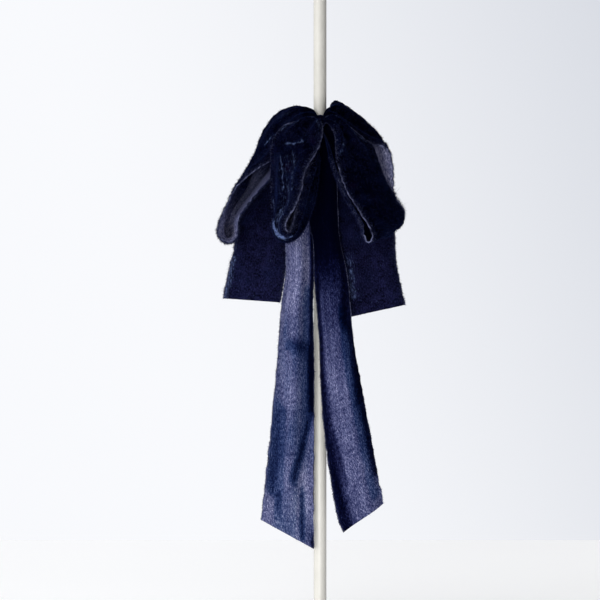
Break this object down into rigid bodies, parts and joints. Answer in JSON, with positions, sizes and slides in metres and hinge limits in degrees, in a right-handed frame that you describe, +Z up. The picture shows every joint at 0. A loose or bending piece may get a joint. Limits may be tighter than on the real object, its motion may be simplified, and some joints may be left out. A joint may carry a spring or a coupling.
{
  "type": "velvet ribbon bow on a pole",
  "caption": "Double bow of wide raw-edged velvet ribbon with short and long tails, tied to a slim upright pole.",
  "frame": {"origin": "centre of the flat face at the pole's foot", "axes": "+Z up along the pole, the bow's front faces -Y, +X to the right seen from the front"},
  "size_m": [0.2379, 0.1325, 0.8],
  "materials": {
    "painted_pole": "satin cream paint",
    "velvet": "navy silk velvet, lavender-grey back, raw edges"
  },
  "bodies": {
    "root": {"pole": "painted_pole", "back_ribbon": "velvet", "front_ribbon": "velvet"}
  },
  "joints": []
}
